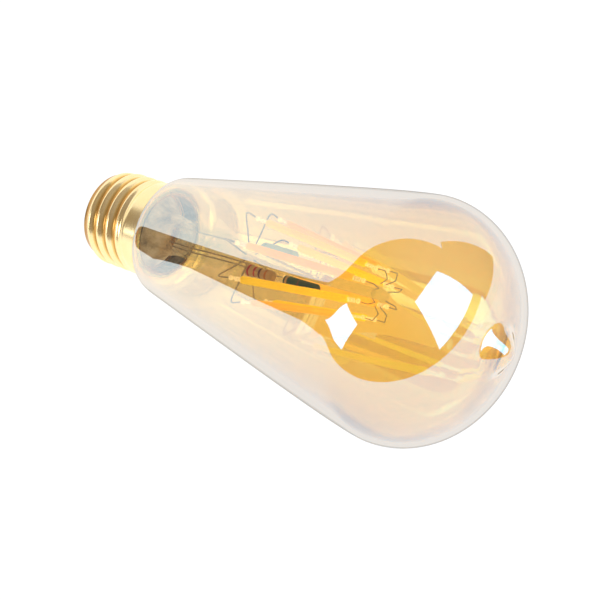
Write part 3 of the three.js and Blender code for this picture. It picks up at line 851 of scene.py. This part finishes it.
def makeTubes():
    exhaust = stem["exhaustDiameter"] / 2
    bore = exhaust - stem["exhaustWall"]
    low, high = stem["boardTop"] + 1.4, stem["tubeHeight"]
    outline = [(bore, low), (exhaust - 0.15, low), (exhaust, low + 0.15), (exhaust, high), (bore, high)]
    addClear("exhaust_tube", "drawn", turnedParts(outline, 48))
    rod = stem["rodDiameter"] / 2
    top = cage["headHeight"]
    outline = [(0, rodStart), (rod - 0.2, rodStart), (rod, rodStart + 0.2)]
    outline += [(rod, blendBetween(rodStart + 0.2, top - 0.2, i / 12)) for i in range(1, 13)]
    outline += [(rod - 0.2, top), (0, top)]
    addClear("centre_rod", "drawn", turnedParts(outline, 48))
    button, length = stem["buttonDiameter"] / 2, stem["buttonLength"]
    start = top + stem["gap"]
    outline = [(0, start), (button * 0.36, start)]
    for i in range(1, 20):
        angle = pi * (0.12 + 0.88 * i / 20)
        outline.append((button * sin(angle), start + length * (0.5 - 0.5 * cos(angle))))
    outline.append((0, start + length))
    addClear("rod_button", "melted", turnedParts(outline, 48), 60)


# The wire and the weld beads glow with painted light, which brightens them though they are no lamps.
nickelWire = mottledMaterial("nickelWire", (0.26, 0.22, 0.17), (0.52, 0.46, 0.38), 1.0, (0.25, 0.45),
                             900, 2500, 0.01, glow=((0.9, 0.75, 0.6), 0.14))
brightBead = mottledMaterial("weldBead", (0.72, 0.66, 0.54), (0.95, 0.90, 0.78), 0.7, (0.12, 0.28),
                             1200, 3000, 0.02, glow=((1.0, 0.9, 0.7), 0.9))


def strandAngle(i):
    return cage["firstAngle"] - i * 360 / cage["count"]


def footOf(i):
    return polar(cage["footRadius"], strandAngle(i), cage["footHeight"])


def headOf(i):
    return polar(cage["headRadius"], strandAngle(i) + cage["twist"], cage["headHeight"])


# A bent wire that ends in a weld bead a little beyond the filament's end.
def addArm(kind, number, path, radius, end, other, seed):
    bead = end + (end - other).normalized() * (cage["bead"] / 2 + stem["gap"])
    shapes = [wireParts(path + [bead], radius), beadParts(bead, cage["bead"] / 2, seed)]
    addMounted(f"{kind}_arm_bent_{number}", shapes, [nickelWire, brightBead],
               f"{kind}_arm_{number}", 60)


def makeArms():
    radius = cage["wire"] / 2
    foot, head = cage["footRadius"], cage["headRadius"]
    for i in range(cage["count"]):
        angle = strandAngle(i)
        height = cage["footHeight"] - cage["elbowDrop"]
        path = [polar(stem["rodDiameter"] / 2 + radius + stem["gap"], angle, height - 0.3),
                polar(foot * 0.6, angle, height - 0.2), polar(foot + 0.8, angle, height)]
        addArm("foot", i + 1, path, radius, footOf(i), headOf(i), i)
        angle += cage["twist"]
        height = cage["headHeight"] + stem["gap"] + stem["buttonLength"] / 2
        path = [polar(stem["buttonDiameter"] / 2 + stem["gap"], angle, height),
                polar(head * 0.66, angle, height + 1.9), polar(head * 0.72, angle, height + 2.1),
                polar(head - 0.3, angle, height + 1.6), polar(head - 0.1, angle, height + 1.2)]
        addArm("head", i + 1, path, radius * cage["headWire"], headOf(i), footOf(i), i + 20)


# Two kinds of phosphor, which take turns round the cage: a cool and a warm white. Each glows in its own tint,
# painted light, though the filaments are not lit.
phosphors = {
    "cool": {"dark": (0.95, 0.76, 0.04), "light": (1.0, 0.88, 0.08), "glow": (0.70, 0.55, 0.02)},
    "warm": {"dark": (0.95, 0.62, 0.14), "light": (1.0, 0.76, 0.24), "glow": (0.74, 0.43, 0.07)},
}
strip = {"rows": 60, "sides": 28, "squareness": 0.72, "width": 0.97, "depth": 0.80, "lumps": 0.035,
         "tabWidth": 1.9, "tabThickness": 0.5}


def phosphorMaterial(kind):
    colours = phosphors[kind]
    material, tree = startMaterial(kind + "Phosphor")
    vector = placeCoordinates(tree)
    grain = noiseNode(tree, vector, 1600, 5, 0.6)
    cloud = noiseNode(tree, vector, 220, 3)
    # the emission is painted light: the filaments glow though they are not lit
    shader = addNode(tree, "BsdfPrincipled", {
        "Base Color": rampNode(tree, cloud, [(0.3, colours["dark"]), (0.7, colours["light"])]),
        "Roughness": spreadNode(tree, grain, 0.45, 0.65), "Normal": bumpNode(tree, grain, 0.04, 0.5),
        "Emission Color": (*colours["glow"], 1), "Emission Strength": 1.0})
    return endMaterial(material, shader.outputs[0])


# A squarish strip coated with phosphor, which tapers to its tabs. It stands on z = 0.
def coatedStripParts(length, seed):
    bare, rows, sides = cage["tabLength"], strip["rows"], strip["sides"]
    end = length - bare
    levels = [(bare, 0.72), (bare + 0.12, 0.9)]
    levels += [(blendBetween(bare + 0.3, end - 0.3, k / rows), 1.0) for k in range(rows + 1)]
    levels += [(end - 0.12, 0.9), (end, 0.72)]
    points = []
    for z, swell in levels:
        for k in range(sides):
            angle = fullTurn * k / sides
            spot = Vector((cos(angle) * 1.2, sin(angle) * 1.2, z * 0.55 + seed))
            size = cage["diameter"] / 2 * swell * (1 + strip["lumps"] * noise.noise(spot))
            x, y = squarish(angle, strip["squareness"])
            points.append(Vector((size * strip["width"] * x, size * strip["depth"] * y, z)))
    return points, closedFaces(len(levels), sides)


def makeFilaments():
    coats = [phosphorMaterial("cool"), phosphorMaterial("warm")]
    # the tabs glow with painted light, though they are no lamps
    tabMetal = mottledMaterial("filamentTab", (0.72, 0.68, 0.58), (0.95, 0.90, 0.80), 0.7, (0.2, 0.35),
                               900, 2400, 0.01, glow=((1.0, 0.93, 0.8), 0.75))
    bare = cage["tabLength"]
    tabSize = (cage["tabDiameter"] / 2 * strip["tabWidth"], strip["tabThickness"], bare + 0.4)
    for i in range(cage["count"]):
        foot, head = footOf(i), headOf(i)
        length = (head - foot).length
        along = (head - foot).normalized()
        across = along.cross(Vector((foot.x, foot.y, 0)).normalized()).normalized()
        turn = frameOf(across, across.cross(along).normalized(), along, foot)
        middles = (bare / 2 + 0.2, length - bare / 2 - 0.2)
        tabs = [roundedBoxParts(*tabSize, 0.12, (0, 0, middle)) for middle in middles]
        shapes = [moved(coatedStripParts(length, i * 17), turn), moved(joinParts(*tabs), turn)]
        kind, number = ("cool", "warm")[i % 2], i // 2 + 1
        addMounted(f"filament_{kind}_strip_{number}", shapes, [coats[i % 2], tabMetal],
                   f"filament_{kind}_{number}", 50)


makeFlare()
makeSeal()
makeTubes()
makeArms()
makeFilaments()
print("mount and filaments welded")


# Parts strung on wires beside the rod. Bands are (start, end, colour) shares of a part's length.
strung = {
    "banded_resistor": {
        "diameter": 3.2, "length": 9.4, "height": 56.5, "angle": 122, "slot": "resistor_body",
        "lacquer": "bandedLacquer", "colour": (0.46, 0.36, 0.25),
        "bands": [(0.13, 0.20, (0.38, 0.01, 0.01)), (0.33, 0.40, (0.36, 0.012, 0.02)),
                  (0.52, 0.59, (0.10, 0.02, 0.01)), (0.74, 0.82, (0.42, 0.17, 0.03))]},
    "green_inductor": {
        "diameter": 2.8, "length": 11.5, "height": 69, "angle": 128, "slot": "green_body",
        "lacquer": "greenLacquer", "colour": (0.02, 0.07, 0.015),
        "bands": [(0.09, 0.16, (0.42, 0.30, 0.15)), (0.45, 0.50, (0.10, 0.05, 0.02))]},
    # the blue body's stronger glow is painted light
    "blue_resistor": {
        "diameter": 3.4, "length": 12, "height": 57.5, "angle": -62, "slot": "blue_body",
        "lacquer": "blueLacquer", "colour": (0.46, 0.60, 0.64), "glow": 0.6,
        "bands": [(0.12, 0.15, (0.34, 0.46, 0.5))], "lead": 7.4, "leadRadius": 0.2},
}
# The sleeve glows with painted light, which keeps it white though it is no lamp.
whiteSleeve = mottledMaterial("whiteSleeve", (0.82, 0.82, 0.80), (0.94, 0.94, 0.93), roughness=(0.4, 0.55),
                              glow=((1, 1, 1), 0.5))
leadOffsets = {"common": -2.3, "warm": 3.5, "cool": -3.7}


# Lacquer with colour bands that run round a body along its own z. The lacquer also glows in its own colour,
# painted light though the part is no lamp.
def bandedMaterial(item):
    material, tree = startMaterial(item["lacquer"])
    along = addNode(tree, "SeparateXYZ", {"Vector": addNode(tree, "TexCoord").outputs["Object"]}).outputs["Z"]
    grain = noiseNode(tree, placeCoordinates(tree), 900, 5)
    height = mathNode(tree, "ADD", along, spreadNode(tree, grain, -0.06 * mm, 0.06 * mm))
    share = rangeNode(tree, height, 0, item["length"] * mm, 0, 1)
    stops = [(0, item["colour"])]
    for start, end, colour in item["bands"]:
        stops += [(start, colour), (end, item["colour"])]
    paint = rampNode(tree, share, stops, "CONSTANT")
    shade = rampNode(tree, grain, [(0.3, (0.8, 0.8, 0.8)), (0.7, (1, 1, 1))])
    mix = addNode(tree, "Mix", data_type="RGBA", blend_type="MULTIPLY")
    mix.inputs["Factor"].default_value = 1.0
    tree.links.new(paint, mix.inputs["A"])
    tree.links.new(shade, mix.inputs["B"])
    colour = mix.outputs["Result"]
    # the emission is painted light in the lacquer's own colour
    shader = addNode(tree, "BsdfPrincipled", {
        "Base Color": colour, "Emission Color": colour, "Emission Strength": item.get("glow", 0.28),
        "Roughness": spreadNode(tree, grain, 0.3, 0.45), "Normal": bumpNode(tree, grain, 0.02, 0.5),
        "Coat Weight": 0.4})
    return endMaterial(material, shader.outputs[0])


# A resistor's body, thicker where the end caps are.
def cappedOutline(radius, length):
    return mirrored([(0, 0), (radius * 0.55, 0.05), (radius * 0.85, 0.35), (radius, 0.95), (radius, 2.0),
                     (radius * 0.95, 2.35), (radius * 0.87, 2.75)], length)


# A lead out of a part's end, with a sleeve that stops short of the lead's end.
def leadAndSleeve(item):
    start, radius = item["length"], item["leadRadius"]
    end = start + item["lead"]
    sleeve = [(radius + 0.02, start + 0.9), (0.9, start + 0.9), (1.0, start + 1), (1.0, end - 0.6),
              (0.9, end - 0.5), (radius + 0.02, end - 0.5)]
    lead = [(0, start - 0.2), (radius, start - 0.2), (radius, end), (0, end)]
    return [turnedParts(lead, 12), turnedParts(sleeve, 28)]


def makeStrungParts():
    for node, item in strung.items():
        radius = item["diameter"] / 2
        outline = cappedOutline if node == "banded_resistor" else domedOutline
        shapes = [turnedParts(outline(radius, item["length"]), 40)]
        if "lead" in item:
            shapes += leadAndSleeve(item)
        offset = stem["rodDiameter"] / 2 + radius + stem["gap"]
        place = mountFrame @ Matrix.Translation(polar(offset, item["angle"], item["height"]) * mm)
        materials = [bandedMaterial(item), nickelWire, whiteSleeve][:len(shapes)]
        addPiece(node + "_dipped", shapes, materials, node, place, 60)


def makeLeads():
    radius = cage["wire"] / 2
    low = stem["boardTop"]
    top = cage["footHeight"] - cage["elbowDrop"] - 3 * radius - stem["gap"]
    for name, offset in leadOffsets.items():
        path = [Vector((offset, 0, low + stem["gap"])),
                Vector((offset, cage["wire"], (low + stem["tubeHeight"]) / 2)),
                Vector((offset, 0, sealStart)), Vector((offset, 0, sealEnd)), Vector((offset, 0, top))]
        addMounted("lead_wire_drawn_" + name, [wireParts(path, radius, 10)], [nickelWire],
                   "lead_wire_" + name, 60)


makeStrungParts()
makeLeads()
print("strung parts and leads placed")


# The driver inside the cap. Sizes are (width, depth, height) or (diameter, length); spots are (x, height
# above the lowest part).
driver = {
    "board": (15.6, 1.2, 12.0), "boardHeight": 8.4, "front": 0.9, "partsStart": 0.6,
    "capacitor": (7.6, 11), "capacitorX": 1.4, "inductor": (5.2, 4.2), "windingTurns": 9,
    "windingWire": 0.14, "rectifier": (4.6, 2.2, 3.8), "rectifierSpot": (3.2, 2),
    "chip": (4.4, 1.5, 4.8), "chipSpot": (4, 8.2), "radio": (7, 0.8, 5.2), "radioInset": 1.3,
    "shield": (5.4, 1.4, 3.8), "wireRadius": 0.4,
}
fuse = {"diameter": 2.2, "length": 5.4, "lacquer": "fuseLacquer", "colour": (0.42, 0.33, 0.2),
        "bands": [(0.2, 0.28, (0.25, 0.12, 0.03)), (0.4, 0.48, (0.02, 0.02, 0.02)),
                  (0.6, 0.68, (0.4, 0.3, 0.05))]}
front = driver["front"]
partsLow = driver["boardHeight"] + driver["partsStart"]
radioX = driver["radio"][0] / 2 + driver["radioInset"] - driver["board"][0] / 2
maskGreen = mottledMaterial("solderMask", (0.01, 0.09, 0.03), (0.03, 0.16, 0.06), roughness=(0.25, 0.4),
                            scale=700, bump=0.02, coat=0.3)
blackEpoxy = mottledMaterial("blackEpoxy", (0.012, 0.012, 0.014), (0.035, 0.035, 0.04),
                             roughness=(0.4, 0.6), scale=900, bump=0.03)
darkSleeve = mottledMaterial("capacitorSleeve", (0.01, 0.014, 0.03), (0.03, 0.035, 0.06),
                             roughness=(0.25, 0.4), scale=500, bump=0.02)
canMetal = mottledMaterial("pressedCan", (0.45, 0.46, 0.47), (0.66, 0.67, 0.68), 1.0, (0.2, 0.4),
                           600, 2000, 0.02)
tinnedLeg = mottledMaterial("tinnedLeg", (0.5, 0.5, 0.5), (0.75, 0.75, 0.74), 1.0, (0.25, 0.4),
                            900, 2400, 0.01)
copper = mottledMaterial("copperWinding", (0.45, 0.16, 0.06), (0.70, 0.30, 0.12), 1.0, (0.25, 0.4),
                         900, 2400, 0.01)
liveRed = mottledMaterial("redInsulation", (0.30, 0.03, 0.02), (0.45, 0.06, 0.04), roughness=(0.4, 0.55))
neutralBlue = mottledMaterial("blueInsulation", (0.02, 0.07, 0.25), (0.05, 0.13, 0.38),
                              roughness=(0.4, 0.55))


def makeBoard():
    middle = Vector((0, 0, driver["boardHeight"] + driver["board"][2] / 2))
    addPiece("driver_board_cut", [roundedBoxParts(*driver["board"], 0.12, middle)], [maskGreen],
             "driver_board")


# A sleeved can with a rolled groove and a scored top.
def makeCapacitor():
    radius, length = driver["capacitor"][0] / 2, driver["capacitor"][1]
    outline = [(0, 0.3), (radius - 0.9, 0.3), (radius - 0.7, 0), (radius - 0.2, 0), (radius, 0.25),
               (radius, 1.1), (radius - 0.35, 1.45), (radius, 1.8), (radius, length - 0.4),
               (radius - 0.35, length), (radius - 0.9, length), (radius - 1.0, length - 0.15),
               (0, length - 0.15)]
    spot = Matrix.Translation((driver["capacitorX"], front + radius, partsLow))
    addPiece("smoothing_capacitor_sleeved", [moved(turnedParts(outline, 56), spot)], [darkSleeve],
             "smoothing_capacitor")


# A drum core with its winding between two flanges.
def makeInductor(turnSteps=20):
    radius, length = driver["inductor"][0] / 2, driver["inductor"][1]
    core = mirrored([(0, 0), (radius, 0), (radius, 0.7), (radius * 0.62, 0.75)], length)
    steps = driver["windingTurns"] * turnSteps
    coil = [polar(radius * 0.78, 360 * k / turnSteps, 0.95 + (length - 1.9) * k / steps)
            for k in range(steps + 1)]
    turn = Matrix.Translation((radioX, -front, partsLow + radius)) @ Matrix.Rotation(pi / 2, 4, "X")
    shapes = [moved(turnedParts(core, 48), turn), moved(sweptParts(coil, driver["windingWire"], 6), turn)]
    addPiece("power_inductor_wound", shapes, [blackEpoxy, copper], "power_inductor")


# A moulded body between two rows of legs.
def makeChip(node, size, spot, legs):
    w, d, h = size
    x, z = spot[0], partsLow + spot[1]
    body = roundedBoxParts(w * 0.86, d, h, 0.18, (x, -front - d / 2, z))
    pins = []
    for side in (-1, 1):
        for k in range(legs):
            middle = (x + side * w * 0.465, -front - d * 0.28, z + h * (k + 0.5) / legs - h / 2)
            pins.append(roundedBoxParts(w * 0.07, d * 0.4, h * 0.09, 0.05, middle))
    addPiece(node + "_moulded", [body, joinParts(*pins)], [blackEpoxy, tinnedLeg], node)


# The radio module: a small board under a pressed can.
def makeRadio():
    w, d, h = driver["radio"]
    z = partsLow + driver["inductor"][0] + 0.3 + h / 2
    addPiece("radio_board_cut", [roundedBoxParts(w, d, h, 0.1, (radioX, -front - d / 2, z))], [maskGreen],
             "radio_board")
    middle = (radioX, -front - d - 0.3 - driver["shield"][1] / 2, z - 0.3)
    addPiece("radio_shield_pressed", [roundedBoxParts(*driver["shield"], 0.3, middle, 5)], [canMetal],
             "radio_shield")


# The fusible resistor, with the live wire to it and the neutral wire from the shell.
def makeMainsSide():
    radius = fuse["diameter"] / 2
    x, y = -driver["board"][0] / 2 + radius + 0.2, front + radius + 0.6
    place = bulbFrame @ Matrix.Translation(Vector((x, y, partsLow)) * mm)
    addPiece("fusible_resistor_dipped", [turnedParts(domedOutline(radius, fuse["length"]), 32)],
             [bandedMaterial(fuse)], "fusible_resistor", place, 60)
    edge, board = cap["edgeHeight"], driver["boardHeight"]
    live = [(0, 0, cap["contactThickness"] + 1), (0, 0, edge + 1), (x * 0.6, y * 0.6, board - 0.8),
            (x, y, partsLow - 0.3)]
    neutral = [(0, -cap["root"] / 2 + cap["wall"] + 1, edge + 1.9), (0.4, -7.2, board - 1),
               (1.4, -1.6, board - 1)]
    for kind, path, material in (("live", live, liveRed), ("neutral", neutral, neutralBlue)):
        addPiece(kind + "_wire_run", [wireParts(path, driver["wireRadius"], 10)], [material],
                 kind + "_wire", sharpAngle=60)


makeBoard()
makeCapacitor()
makeInductor()
makeChip("bridge_rectifier", driver["rectifier"], driver["rectifierSpot"], 2)
makeChip("control_chip", driver["chip"], driver["chipSpot"], 4)
makeRadio()
makeMainsSide()
print("driver fitted")
